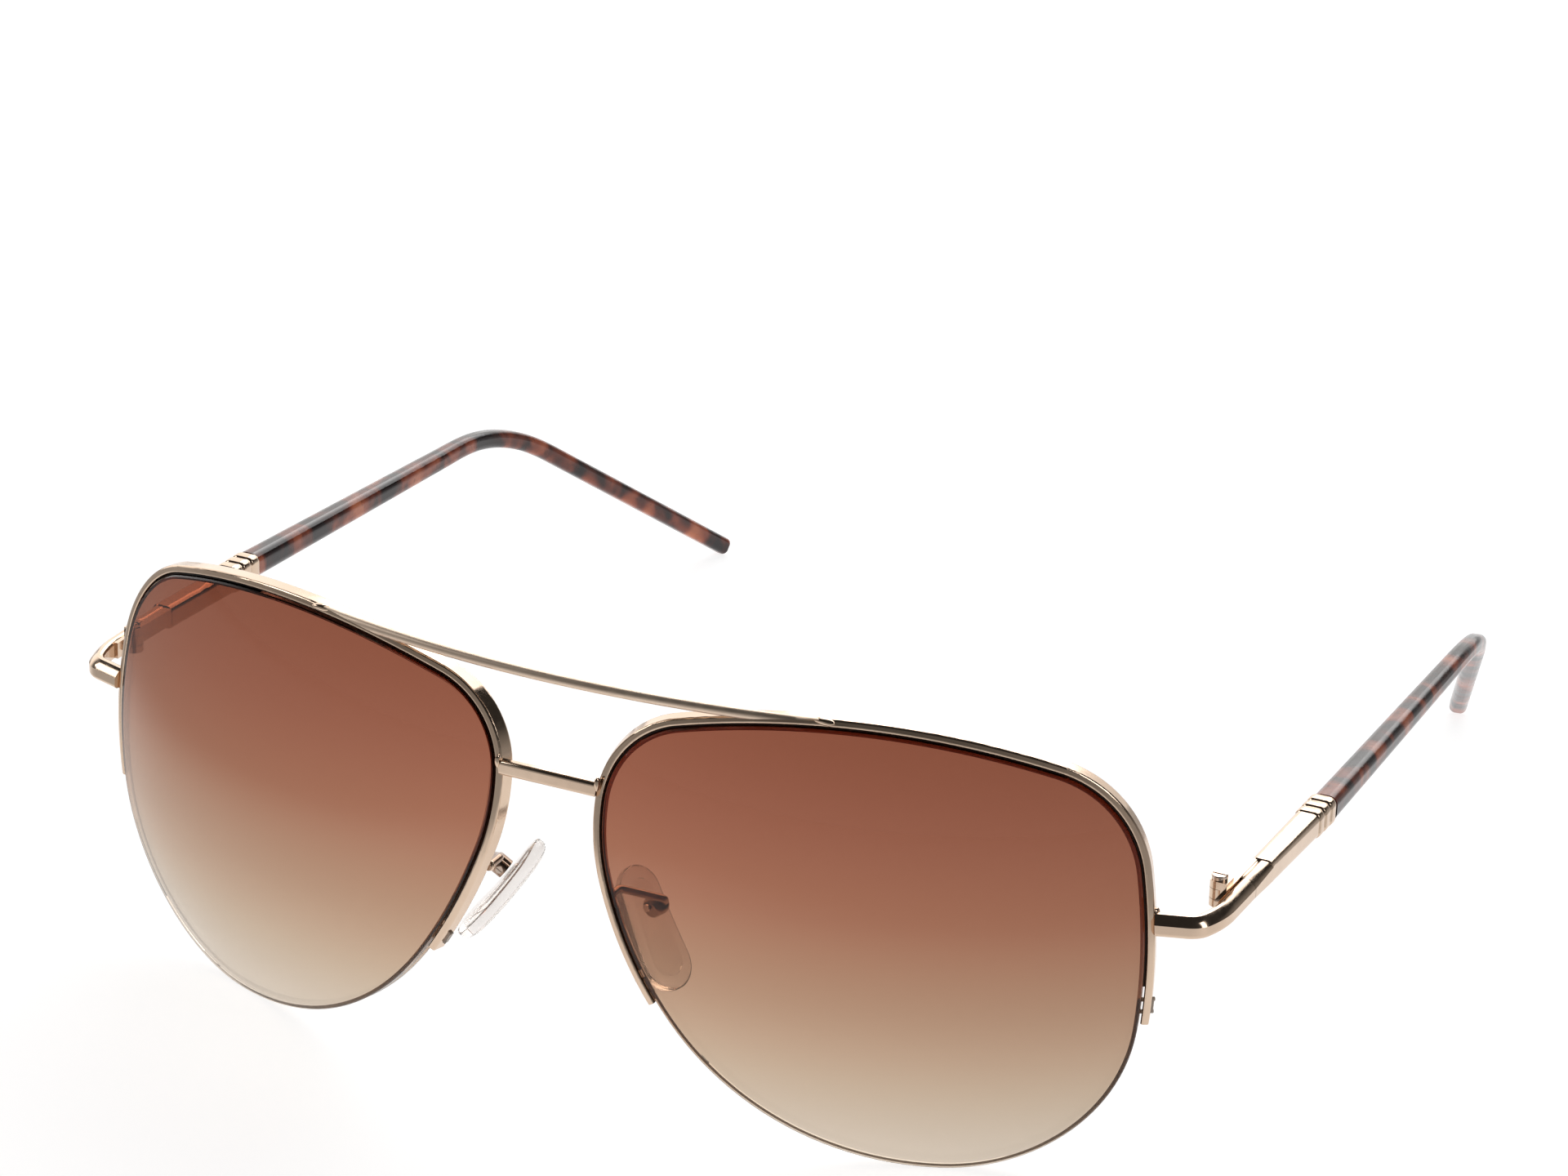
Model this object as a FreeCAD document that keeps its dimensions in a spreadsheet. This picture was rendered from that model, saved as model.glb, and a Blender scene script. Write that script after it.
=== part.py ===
import FreeCAD, Part
import math
import os

import Sketcher
from FreeCAD import Placement, Rotation, Vector

# Semi-rimless aviator sunglasses, millimetres.
# Row frame: +X the wearer's left, +Y from the lenses back to the ears, +Z up.
# The glasses stand open on a table, on the bottoms of both lenses and on both temple tips.
# The origin is the middle of the ground they cover. Pieces of the wearer's left are
# modelled, and those of the right are their mirror images.
#
# Places are given from the lens datum: the middle between the two lenses, at the height
# of their centres and in the plane of their front vertices.

doc = FreeCAD.newDocument("aviator_sunglasses")

SIZES = {
    # lens outline: radii of the tangent arcs that make it
    "temporal_side_arc": 70.6,
    "temporal_corner_arc": 14.0,
    "nasal_corner_arc": 11.2,
    "nasal_side_arc": 23.6,
    "nasal_bottom_arc": 37.0,
    "bottom_arc": 21.1,
    # lens
    "base_curve": 74.3,
    "lens_thickness": 1.8,
    "lens_chamfer": 0.15,
    "face_form": 16.1,
    "lens_side": 37.8,
    "datum_back": -74.13,
    # edge groove of the lens, the liner of the rim and the nylon line
    "groove_front": 0.6,
    "groove_width": 0.6,
    "groove_depth": 0.55,
    "line_width": 0.5,
    "line_chamfer": 0.14,
    "fit_gap": 0.02,
    # half rim
    "rim_gap": 0.2,
    "rim_width": 0.9,
    "rim_proud": 0.0,
    "rim_round": 0.28,
    "channel_depth": 0.4,
    "rim_nasal_end": 213.0,
    "rim_temporal_end": -5.4,
    "liner_reach": 0.15,
    "liner_clear": 1.4,
    "stitch_inset": 1.2,
    "stitch_pitch": 1.5,
    "stitch_proud": 0.22,
    # brow bar and bridge
    "brow_wire": 1.15,
    "brow_side": 31.0,
    "brow_end_back": 3.6,
    "brow_middle_back": -0.3,
    "brow_up": 26.45,
    "bridge_height": 1.8,
    "bridge_depth": 1.2,
    "bridge_round": 0.45,
    "bridge_side": 7.6,
    "bridge_end_back": -0.2,
    "bridge_middle_back": -1.2,
    "bridge_end_up": 14.45,
    "bridge_middle_up": 15.0,
    # endpiece
    "endpiece_thickness": 1.8,
    "endpiece_height": 2.4,
    "endpiece_round": 0.5,
    "endpiece_bevel": 0.95,
    "endpiece_bend": 2.4,
    "endpiece_sweep": 12.0,
    "endpiece_side": 71.15,
    "endpiece_up": 5.7,
    "endpiece_root_side": 64.6,
    "endpiece_root_back": 15.2,
    "endpiece_corner_side": 69.9,
    "endpiece_corner_back": 16.9,
    "endpiece_sweep_back": 20.3,
    "endpiece_end": 28.2,
    # hinge
    "hinge_side": 69.0,
    "hinge_back": 24.9,
    "hinge_up": 6.4,
    "knuckle_radius": 1.05,
    "outer_knuckle": 0.9,
    "middle_knuckle": 1.2,
    "knuckle_gap": 0.05,
    "slot_clearance": 0.12,
    "way_inset": 0.42,
    "pin_radius": 0.5,
    "pin_clearance": 0.04,
    "screw_head_radius": 0.92,
    "screw_head_height": 0.55,
    "screw_head_round": 0.15,
    "screw_foot": 0.05,
    "screw_slot_reach": 1.0,
    "screw_slot_width": 0.28,
    "screw_slot_depth": 0.3,
    "plate_length": 4.4,
    "plate_thickness": 0.55,
    "plate_above": 0.45,
    "tongue_thickness": 0.95,
    "tongue_gap": 0.05,
    "tongue_height": 1.85,
    "tongue_drop": 1.4,
    # temple
    "temple_gap": 0.06,
    "neck_end": 33.0,
    "neck_overlap": 0.5,
    "neck_flare": 0.3,
    "shoulder": 0.35,
    "shaft_thickness": 2.6,
    "shaft_height": 2.9,
    "neck_bevel": 0.62,
    "shaft_bevel": 0.4,
    "corner_share": 0.28,
    "ferrule_start": 47.2,
    "ferrule_gap": 0.12,
    "ferrule_inset": 0.06,
    "rib_count": 3,
    "rib_depth": 0.12,
    "sleeve_side": 70.6,
    "sleeve_back": 52.8,
    "sleeve_up": 5.1,
    "sleeve_thickness": 3.05,
    "sleeve_height": 3.15,
    "taper_share": 0.52,
    "tip_thickness": 2.25,
    "tip_height": 2.3,
    "knee_side": 68.3,
    "knee_back": 112.1,
    "knee_up": 3.2,
    "knee_bend": 30.0,
    "tip_side": 53.7,
    "tip_back": 150.6,
    "tip_up": -25.22,
    "tip_round": 0.6,
    "core_radius": 0.6,
    "core_overlap": 9.0,
    "core_short_of_tip": 6.0,
    # nose pads
    "pad_side": 9.9,
    "pad_back": 6.8,
    "pad_up": -1.6,
    "pad_length": 14.6,
    "pad_width": 7.0,
    "pad_top_width": 6.0,
    "pad_thickness": 1.8,
    "pad_round": 0.8,
    "pad_stand_off": 1.2,
    "pad_above": 5.2,
    "insert_thickness": 0.5,
    "insert_inset": 1.6,
    "lug_radius": 0.5,
    "lug_foot": 0.55,
    "lug_overlap": 0.1,
    "lug_clearance": 0.03,
    "cup_radius": 1.2,
    "cup_bore": 0.9,
    "cup_depth": 1.9,
    "cup_drop": 0.25,
    "cup_round": 0.5,
    "cup_bore_lift": 0.36,
    "pad_screw_radius": 0.22,
    "pad_screw_head": 0.42,
    "pad_screw_over": 0.05,
    "pad_screw_head_height": 0.3,
    "pad_screw_slot": 0.14,
    "pad_screw_slot_depth": 0.1,
    "arm_wire": 0.9,
    "arm_root": 199.0,
    "arm_sink": 0.1,
    "arm_reach": 3.0,
    "arm_lead": 0.9,
    "arm_bend": 1.2,
}

sheet = doc.addObject("Spreadsheet::Sheet", "Sizes")
for row, (alias, value) in enumerate(SIZES.items(), start=1):
    sheet.set("A%d" % row, alias)
    sheet.set("B%d" % row, str(value))
    sheet.setAlias("B%d" % row, alias)
doc.recompute()


def size(alias):
    """Value of one cell of the sheet."""
    return float(sheet.get(alias))


# ---------------------------------------------------------------- lens outline
# The outline is a chain of tangent arcs. Each arc starts where the outward normal of the
# outline has the angle given here, in degrees from the temple side towards the top. Two
# radii are left open and are solved so that the chain closes.
OUTLINE = (
    (-6.0, "temporal_side_arc"),
    (9.0, "temporal_corner_arc"),
    (72.0, None),
    (106.0, "nasal_corner_arc"),
    (174.0, "nasal_side_arc"),
    (196.0, None),
    (216.0, "nasal_bottom_arc"),
    (271.0, "bottom_arc"),
)
FULL_TURN = 360.0


def outward(angle):
    """Unit vector in the plane of the outline, x to the temple and z up."""
    turn = math.radians(angle)
    return Vector(math.cos(turn), 0, math.sin(turn))


def solve_outline():
    """List of (start angle, end angle, radius, centre), centred on its own box."""
    starts = [angle for angle, _ in OUTLINE]
    ends = starts[1:] + [starts[0] + FULL_TURN]
    steps = [outward(end) - outward(start) for start, end in zip(starts, ends)]
    radii = [size(alias) if alias else 0.0 for _, alias in OUTLINE]
    gap = Vector()
    for step, radius in zip(steps, radii):
        gap = gap + step * radius
    first, second = [i for i, (_, alias) in enumerate(OUTLINE) if alias is None]
    p, q = steps[first], steps[second]
    area = p.x * q.z - p.z * q.x
    radii[first] = (gap.z * q.x - gap.x * q.z) / area
    radii[second] = (gap.x * p.z - gap.z * p.x) / area

    arcs = []
    corner = Vector()
    for start, end, radius in zip(starts, ends, radii):
        centre = corner - outward(start) * radius
        arcs.append((start, end, radius, centre))
        corner = centre + outward(end) * radius
    box = [point_on(arcs, angle, 0.0) for angle in (0.0, 90.0, 180.0, 270.0)]
    middle = Vector((box[0].x + box[2].x) / 2, 0, (box[1].z + box[3].z) / 2)
    return [(start, end, radius, centre - middle) for start, end, radius, centre in arcs]


def point_on(arcs, angle, offset):
    """Point of the outline with this normal angle, moved outwards by offset."""
    for start, end, radius, centre in arcs:
        turned = start + (angle - start) % FULL_TURN
        if turned <= end:
            return centre + outward(turned) * (radius + offset)
    raise ValueError("no arc at %s degrees" % angle)


ARCS = solve_outline()
LENS_HALF_HEIGHT = point_on(ARCS, 90.0, 0.0).z


def outline_edges(offset, start, end):
    """Arcs of the outline moved outwards by offset, from one normal angle to another."""
    edges = []
    for turn in (-FULL_TURN, 0.0, FULL_TURN):
        for arc_start, arc_end, _, _ in ARCS:
            low = max(arc_start + turn, start)
            high = min(arc_end + turn, end)
            if high - low > 1e-6:
                ends = [point_on(ARCS, a, offset) for a in (low, (low + high) / 2, high)]
                edges.append(Part.Arc(*ends).toShape())
    return edges


def lens_face(offset=0.0):
    """Face bounded by the whole outline moved outwards by offset."""
    start = OUTLINE[0][0]
    return Part.Face(Part.Wire(outline_edges(offset, start, start + FULL_TURN)))


def strip_face(inner, outer, start, end):
    """Face between two offsets of the outline, with ends square to it."""
    if end - start >= FULL_TURN:
        return lens_face(outer).cut(lens_face(inner))
    outer_edges = outline_edges(outer, start, end)
    inner_edges = outline_edges(inner, start, end)
    caps = [
        Part.makeLine(point_on(ARCS, angle, inner), point_on(ARCS, angle, outer))
        for angle in (start, end)
    ]
    return Part.Face(Part.Wire(Part.__sortEdges__(outer_edges + inner_edges + caps)))


def lens_prism(face):
    """Solid of the face carried along the optical axis, right through the lens."""
    reach = 16.0
    lead = 3.0
    return face.translated(Vector(0, -lead, 0)).extrude(Vector(0, reach, 0))


def shell(front, back):
    """Spherical shell that follows the lens between two depths behind its front."""
    centre = Vector(0, size("base_curve"), 0)
    outside = Part.makeSphere(size("base_curve") - front, centre)
    inside = Part.makeSphere(size("base_curve") - back, centre)
    return outside.cut(inside)


def band(inner, outer, front, back, start, end):
    """Band that follows the edge of the lens."""
    prism = lens_prism(strip_face(inner, outer, start, end))
    solids = prism.common(shell(front, back)).Solids
    return max(solids, key=lambda solid: solid.Volume)


def edge_point(angle, offset, depth):
    """Point beside the edge of the lens, at a depth behind its front surface."""
    flat = point_on(ARCS, angle, offset)
    radius = size("base_curve") - depth
    sag = size("base_curve") - math.sqrt(radius**2 - flat.x**2 - flat.z**2)
    return Vector(flat.x, sag, flat.z)


def rod(start, end, radius):
    """Cylinder between two points."""
    axis = end - start
    return Part.makeCylinder(radius, axis.Length, start, axis)


def lens_place():
    """Placement of the left lens, turned by the wrap of the front."""
    base = Vector(size("lens_side"), size("datum_back"), LENS_HALF_HEIGHT)
    return Placement(base, Rotation(Vector(0, 0, 1), size("face_form")))


def row_point(side, back, up):
    """Point given from the lens datum, in the row frame."""
    return Vector(side, back + size("datum_back"), up + LENS_HALF_HEIGHT)


def sized_point(name):
    """Point whose side, back and up are three cells of the sheet."""
    return row_point(size(name + "_side"), size(name + "_back"), size(name + "_up"))


# ------------------------------------------------------------------- documents
nodes = []


def keep(part, label):
    """Name a finished piece as a node."""
    part.Label = label
    nodes.append(part)
    return part


def feature(name, shape, placement=None):
    """Document object for a shape made with Part's own functions."""
    part = doc.addObject("Part::Feature", name)
    part.Shape = shape
    if placement is not None:
        part.Placement = placement
    return part


def bound(kind, name, **cells):
    """Part primitive whose properties follow formulas on the sheet."""
    part = doc.addObject(kind, name)
    for prop, formula in cells.items():
        part.setExpression(prop, formula)
    return part


def boolean(kind, name, base, tool):
    """Two-piece boolean object."""
    part = doc.addObject(kind, name)
    part.Base = base
    part.Tool = tool
    return part


def fuse(name, pieces):
    """Union object of several pieces."""
    part = doc.addObject("Part::MultiFuse", name)
    part.Shapes = pieces
    part.Refine = True
    return part


def mirror_to_right(part, name):
    """Node for the wearer's right: the mirror image of a left node."""
    twin = doc.addObject("Part::Mirroring", name)
    twin.Source = part
    twin.Normal = Vector(1, 0, 0)
    twin.Base = Vector(0, 0, 0)
    return keep(twin, name)


# ----------------------------------------------------------------------- lenses
def make_lens():
    """Meniscus lens with flat edge, safety chamfers and a groove all round."""
    blank = feature("lens_blank", lens_prism(lens_face()))
    front = bound("Part::Sphere", "lens_front", Radius="Sizes.base_curve")
    back = bound("Part::Sphere", "lens_back", Radius="Sizes.base_curve - Sizes.lens_thickness")
    for surface in (front, back):
        surface.setExpression("Placement.Base.y", "Sizes.base_curve")
    bowl = doc.addObject("Part::MultiCommon", "lens_bowl")
    bowl.Shapes = [blank, front]
    uncut = boolean("Part::Cut", "lens_uncut", bowl, back)
    doc.recompute()
    edges = [
        (number, size("lens_chamfer"), size("lens_chamfer"))
        for number, edge in enumerate(uncut.Shape.Edges, start=1)
        if is_around(edge)
    ]
    safe = doc.addObject("Part::Chamfer", "lens_chamfered")
    safe.Base = uncut
    safe.Edges = edges
    depth = size("groove_front")
    start = OUTLINE[0][0]
    groove = feature(
        "lens_groove",
        band(-size("groove_depth"), 1.0, depth, depth + size("groove_width"), start, start + FULL_TURN),
    )
    lens = boolean("Part::Cut", "lens_left", safe, groove)
    lens.Placement = lens_place()
    return keep(lens, "lens_left")


def is_around(edge):
    """True for an edge that runs round the lens, not across its thickness."""
    middle = edge.valueAt((edge.FirstParameter + edge.LastParameter) / 2)
    tangent = edge.tangentAt((edge.FirstParameter + edge.LastParameter) / 2)
    tangent = Vector(tangent.x, 0, tangent.z)
    if tangent.Length < 0.5:
        return False
    radial = Vector(middle.x, 0, middle.z).normalize()
    return abs(tangent.normalize().dot(radial)) < 0.75


# ------------------------------------------------------------ half rim and line
def stitch_angles(end, inward):
    """Normal angles of the two line holes near one rim end."""
    radius = 40.0
    for start, stop, arc_radius, _ in ARCS:
        if start <= end <= stop:
            radius = arc_radius
    inset = math.degrees(size("stitch_inset") / radius) * inward
    pitch = math.degrees(size("stitch_pitch") / radius) * inward
    return end + inset, end + inset + pitch


def stitches():
    """Hole angles at the nasal and at the temporal end of the rim."""
    return (
        stitch_angles(size("rim_nasal_end"), -1),
        stitch_angles(size("rim_temporal_end"), 1),
    )


def groove_middle():
    """Depth of the middle of the lens groove."""
    return size("groove_front") + size("groove_width") / 2


# Longest edge across the ends of the rim, and how far a cutting tool runs past the rim.
BAND_END_EDGE = 2.6
OVERRUN = 0.5
OVERRUN_ANGLE = 9.0


def make_rim():
    """Half rim: a rounded band with a channel for the liner and holes for the line."""
    inner = size("rim_gap")
    outer = inner + size("rim_width")
    start, end = size("rim_temporal_end"), size("rim_nasal_end")
    proud = size("rim_proud")
    body = band(inner, outer, -proud, size("lens_thickness") + proud, start, end)
    long_edges = [edge for edge in body.Edges if is_around(edge) and edge.Length > BAND_END_EDGE]
    body = body.makeFillet(size("rim_round"), long_edges)
    front = size("groove_front")
    back = front + size("groove_width")
    deep = inner + size("channel_depth")
    channel = band(inner - OVERRUN, deep, front, back, start - OVERRUN_ANGLE, end + OVERRUN_ANGLE)
    body = body.cut(channel)
    for pair in stitches():
        for angle in pair:
            reach = (inner - OVERRUN, outer + OVERRUN)
            ends = (edge_point(angle, offset, groove_middle()) for offset in reach)
            body = body.cut(rod(*ends, size("line_width") / 2 + size("fit_gap")))
    body = max(body.Solids, key=lambda solid: solid.Volume)
    return keep(feature("rim_left", body, lens_place()), "rim_left")


def make_liner():
    """Plastic strip held in the rim channel, whose inner edge sits in the lens groove."""
    gap = size("fit_gap")
    nasal, temporal = stitches()
    clear = size("liner_clear")
    front = size("groove_front") + gap
    back = size("groove_front") + size("groove_width") - gap
    inner = -size("liner_reach")
    outer = size("rim_gap") + size("channel_depth") - gap
    strip = band(inner, outer, front, back, temporal[1] + clear, nasal[1] - clear)
    return keep(feature("rim_liner_left", strip, lens_place()), "rim_liner_left")


def make_line():
    """Nylon line under the lens, laced through two holes at each end of the rim."""
    width = size("line_width")
    front = groove_middle() - width / 2
    inner = size("fit_gap") - size("groove_depth")
    nasal, temporal = stitches()
    run = band(inner, inner + width, front, front + width, nasal[1], temporal[1] + FULL_TURN)
    round_edges = [edge for edge in run.Edges if is_around(edge) and edge.Length > 2 * width]
    run = run.makeChamfer(size("line_chamfer"), round_edges)
    outside = size("rim_gap") + size("rim_width")
    proud = size("stitch_proud")
    pieces = []
    for low, high in (sorted(nasal), sorted(temporal)):
        pieces.append(band(outside, outside + proud, front, front + width, low, high))
        for angle in (low, high):
            foot = edge_point(angle, inner + width / 4, groove_middle())
            head = edge_point(angle, outside + proud, groove_middle())
            pieces.append(rod(foot, head, width / 2))
    line = run.multiFuse(pieces).removeSplitter()
    return keep(feature("lens_line_left", line.Solids[0], lens_place()), "lens_line_left")


# ------------------------------------------------------------------ swept pieces
def rounded_path(points, bends):
    """Wire of straight runs joined by tangent arcs, one bend radius per inner point."""
    edges = []
    last = points[0]
    for before, corner, after, bend in zip(points, points[1:], points[2:], bends):
        back = (before - corner).normalize()
        ahead = (after - corner).normalize()
        half = back.getAngle(ahead) / 2
        reach = bend / math.tan(half)
        inside = (back + ahead).normalize()
        start = corner + back * reach
        end = corner + ahead * reach
        middle = corner + inside * (bend / math.sin(half) - bend)
        edges.append(Part.makeLine(last, start))
        edges.append(Part.Arc(start, middle, end).toShape())
        last = end
    edges.append(Part.makeLine(last, points[-1]))
    return Part.Wire(edges)


# Where the middle of a corner lies, as a share of its reach: a circle and a soft bevel.
ROUND_FULLNESS = math.sqrt(0.5)
BEVEL_FULLNESS = 0.57


def rounded_section(centre, across, upright, width, height, corner, bevel=0.0):
    """Closed wire of a rectangle with rounded corners; a bevel takes the outer top one."""

    def at(x, y):
        return centre + across * x + upright * y

    arcs = []
    for sx, sy in ((1, 1), (-1, 1), (-1, -1), (1, -1)):
        bevelled = bevel > corner and sx > 0 and sy > 0
        reach = bevel if bevelled else corner
        full = (BEVEL_FULLNESS if bevelled else ROUND_FULLNESS) * reach
        flat_w, flat_h = width / 2 - reach, height / 2 - reach
        side = at(sx * width / 2, sy * flat_h)
        top = at(sx * flat_w, sy * height / 2)
        middle = at(sx * (flat_w + full), sy * (flat_h + full))
        arcs.append((side, middle, top) if sx * sy > 0 else (top, middle, side))
    edges = []
    for arc, following in zip(arcs, arcs[1:] + arcs[:1]):
        edges.append(Part.Arc(*arc).toShape())
        edges.append(Part.makeLine(arc[2], following[0]))
    return Part.Wire(edges)


def swept(path, section, upright=None):
    """Solid of a section carried along a path."""
    builder = Part.BRepOffsetAPI.MakePipeShell(path)
    if upright is None:
        builder.setFrenetMode(True)
    else:
        builder.setBiNormalMode(upright)
    builder.add(section)
    builder.build()
    builder.makeSolid()
    return builder.shape()


def wire_section(path, radius):
    """Circle square to the start of a path."""
    edge = path.OrderedEdges[0]
    start = path.OrderedVertexes[0].Point
    tangent = edge.tangentAt(edge.FirstParameter)
    return Part.Wire([Part.makeCircle(radius, start, tangent)])


def both_rims():
    """Solid that holds everything inside the outer edge of both rims."""
    outer = size("rim_gap") + size("rim_width")
    left = lens_prism(lens_face(outer))
    left.Placement = lens_place()
    return left.fuse(left.mirror(Vector(), Vector(1, 0, 0)))


def make_brow_bar():
    """Round wire bowed across the top, cut to lie on the rims where it is soldered."""
    side, up = size("brow_side"), size("brow_up")
    ends = [row_point(sign * side, size("brow_end_back"), up) for sign in (-1, 1)]
    middle = row_point(0, size("brow_middle_back"), up)
    path = Part.Wire([Part.Arc(ends[0], middle, ends[1]).toShape()])
    bar = swept(path, wire_section(path, size("brow_wire") / 2), Vector(0, 0, 1))
    bar = bar.cut(both_rims())
    return keep(feature("brow_bar", max(bar.Solids, key=lambda s: s.Volume)), "brow_bar")


def make_bridge():
    """Flat bridge between the rims, bowed forwards and up."""
    side = size("bridge_side")
    ends = [
        row_point(sign * side, size("bridge_end_back"), size("bridge_end_up")) for sign in (-1, 1)
    ]
    middle = row_point(0, size("bridge_middle_back"), size("bridge_middle_up"))
    arc = Part.Arc(ends[0], middle, ends[1]).toShape()
    path = Part.Wire([arc])
    tangent = arc.tangentAt(arc.FirstParameter)
    lean = (middle - (ends[0] + ends[1]) / 2).normalize()
    square = tangent.cross(lean).normalize()
    upright = (Vector(0, 0, 1) - tangent * tangent.z).normalize()
    across = upright.cross(tangent).normalize()
    section = rounded_section(
        ends[0], across, upright, size("bridge_depth"), size("bridge_height"), size("bridge_round")
    )
    bar = swept(path, section, square).cut(both_rims())
    return keep(feature("bridge", max(bar.Solids, key=lambda s: s.Volume)), "bridge")


def make_endpiece():
    """Bar that leaves the rim sideways, turns a tight then a slow bend, and ends at the hinge."""
    side, up = size("endpiece_side"), size("endpiece_up")
    points = [
        row_point(size("endpiece_root_side"), size("endpiece_root_back"), up),
        row_point(size("endpiece_corner_side"), size("endpiece_corner_back"), up),
        row_point(side, size("endpiece_sweep_back"), up),
        row_point(side, size("endpiece_end"), up),
    ]
    path = rounded_path(points, [size("endpiece_bend"), size("endpiece_sweep")])
    tangent = (points[1] - points[0]).normalize()
    upright = Vector(0, 0, 1)
    section = rounded_section(
        points[0],
        tangent.cross(upright),
        upright,
        size("endpiece_thickness"),
        size("endpiece_height"),
        size("endpiece_round"),
        size("endpiece_bevel"),
    )
    bar = swept(path, section, upright).cut(both_rims())
    bar = max(bar.Solids, key=lambda s: s.Volume)
    return keep(feature("endpiece_left", bar), "endpiece_left")


# ------------------------------------------------------------------------ hinge
HINGE = {
    "Placement.Base.x": "Sizes.hinge_side",
    "Placement.Base.y": "Sizes.hinge_back + Sizes.datum_back",
}
STACK = "(Sizes.middle_knuckle + 2 * Sizes.outer_knuckle + 2 * Sizes.knuckle_gap)"
HINGE_UP = "Sizes.hinge_up + %.6f" % LENS_HALF_HEIGHT


def on_pin(name, radius, height, lift):
    """Cylinder on the hinge pin; lift is the formula of its foot above the hinge centre."""
    part = bound("Part::Cylinder", name, Radius=radius, Height=height)
    for prop, formula in HINGE.items():
        part.setExpression(prop, formula)
    part.setExpression("Placement.Base.z", "%s + %s" % (HINGE_UP, lift))
    return part


def block(name, length, width, height, x, y, z):
    """Box with bound sizes and its low corner at three bound places."""
    part = bound("Part::Box", name, Length=length, Width=width, Height=height)
    part.setExpression("Placement.Base.x", x)
    part.setExpression("Placement.Base.y", "Sizes.datum_back + " + y)
    part.setExpression("Placement.Base.z", "%s + %s" % (HINGE_UP, z))
    return part


def make_front_hinge():
    """Two knuckles and the plate that is soldered inside the endpiece."""
    foot = "-%s / 2" % STACK
    barrel = on_pin("front_barrel", "Sizes.knuckle_radius", STACK, foot)
    inner_face = "Sizes.endpiece_side - Sizes.endpiece_thickness / 2"
    plate = block(
        "front_plate",
        "Sizes.plate_thickness",
        "Sizes.plate_length",
        "%s / 2 + Sizes.plate_above" % STACK,
        "%s - Sizes.plate_thickness" % inner_face,
        "Sizes.hinge_back + Sizes.knuckle_radius - Sizes.plate_length",
        foot,
    )
    web = block(
        "front_web",
        "%s - Sizes.hinge_side" % inner_face,
        "2 * Sizes.knuckle_radius",
        STACK,
        "Sizes.hinge_side",
        "Sizes.hinge_back - Sizes.knuckle_radius",
        foot,
    )
    solid = fuse("front_hinge_solid", [barrel, plate, web])
    slot_height = "Sizes.middle_knuckle + 2 * Sizes.knuckle_gap"
    slot_foot = "-(%s) / 2" % slot_height
    slot_radius = "Sizes.knuckle_radius + Sizes.slot_clearance"
    slot = on_pin("front_slot", slot_radius, slot_height, slot_foot)
    way = block(
        "front_way",
        "2 * Sizes.knuckle_radius",
        "2 * Sizes.knuckle_radius",
        slot_height,
        "Sizes.hinge_side - Sizes.way_inset",
        "Sizes.hinge_back",
        slot_foot,
    )
    bore = on_pin("front_bore", "Sizes.pin_radius + Sizes.fit_gap", STACK, foot)
    room = fuse("front_hinge_room", [slot, way, bore])
    return keep(boolean("Part::Cut", "front_hinge_left", solid, room), "front_hinge_left")


def make_temple_hinge():
    """Single knuckle with the tongue that is soldered to the temple."""
    middle = "Sizes.middle_knuckle"
    knuckle = on_pin("temple_knuckle", "Sizes.knuckle_radius", middle, "-%s / 2" % middle)
    inner_face = "Sizes.endpiece_side - Sizes.endpiece_thickness / 2 - Sizes.tongue_gap"
    low_x = "%s - Sizes.tongue_thickness" % inner_face
    tongue = block(
        "temple_tongue",
        "Sizes.tongue_thickness",
        "Sizes.neck_end - Sizes.hinge_back - Sizes.fit_gap",
        middle,
        low_x,
        "Sizes.hinge_back",
        "-%s / 2" % middle,
    )
    step = "(2 * Sizes.knuckle_radius)"
    root = block(
        "temple_tongue_root",
        "Sizes.tongue_thickness",
        "Sizes.neck_end - Sizes.hinge_back - Sizes.fit_gap - %s" % step,
        "Sizes.tongue_height",
        low_x,
        "Sizes.hinge_back + %s" % step,
        "-Sizes.tongue_drop",
    )
    solid = fuse("temple_hinge_solid", [knuckle, tongue, root])
    bore = on_pin(
        "temple_bore", "Sizes.pin_radius + Sizes.pin_clearance", middle, "-%s / 2" % middle
    )
    return keep(boolean("Part::Cut", "temple_hinge_left", solid, bore), "temple_hinge_left")


def make_hinge_screw():
    """Slotted screw down through the three knuckles."""
    foot = "-%s / 2" % STACK
    shank = on_pin("screw_shank", "Sizes.pin_radius", "%s + Sizes.screw_foot" % STACK, foot)
    head = on_pin("screw_head", "Sizes.screw_head_radius", "Sizes.screw_head_height", "%s / 2" % STACK)
    doc.recompute()
    rim = [
        (number, size("screw_head_round"), size("screw_head_round"))
        for number, edge in enumerate(head.Shape.Edges, start=1)
        if edge.CenterOfMass.z > head.Shape.BoundBox.ZMax - 0.01 and edge.Closed
    ]
    softened = doc.addObject("Part::Fillet", "screw_head_round")
    softened.Base = head
    softened.Edges = rim
    screw = fuse("screw_solid", [shank, softened])
    slot = block(
        "screw_slot",
        "2 * Sizes.screw_slot_reach",
        "Sizes.screw_slot_width",
        "Sizes.screw_slot_depth",
        "Sizes.hinge_side - Sizes.screw_slot_reach",
        "Sizes.hinge_back - Sizes.screw_slot_width / 2",
        "%s / 2 + Sizes.screw_head_height - Sizes.screw_slot_depth" % STACK,
    )
    return keep(boolean("Part::Cut", "hinge_screw_left", screw, slot), "hinge_screw_left")


# ----------------------------------------------------------------------- temple
def temple_points():
    """Start of the sleeve, knee of the ear bend and middle of the tip."""
    return [sized_point(name) for name in ("sleeve", "knee", "tip")]


def core_path(lead, short):
    """Path of the core wire, led forwards into the metal and stopped short of the tip."""
    start, knee, tip = temple_points()
    points = [
        start + (start - knee).normalize() * lead,
        knee,
        tip + (knee - tip).normalize() * short,
    ]
    return rounded_path(points, [size("knee_bend")])


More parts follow.
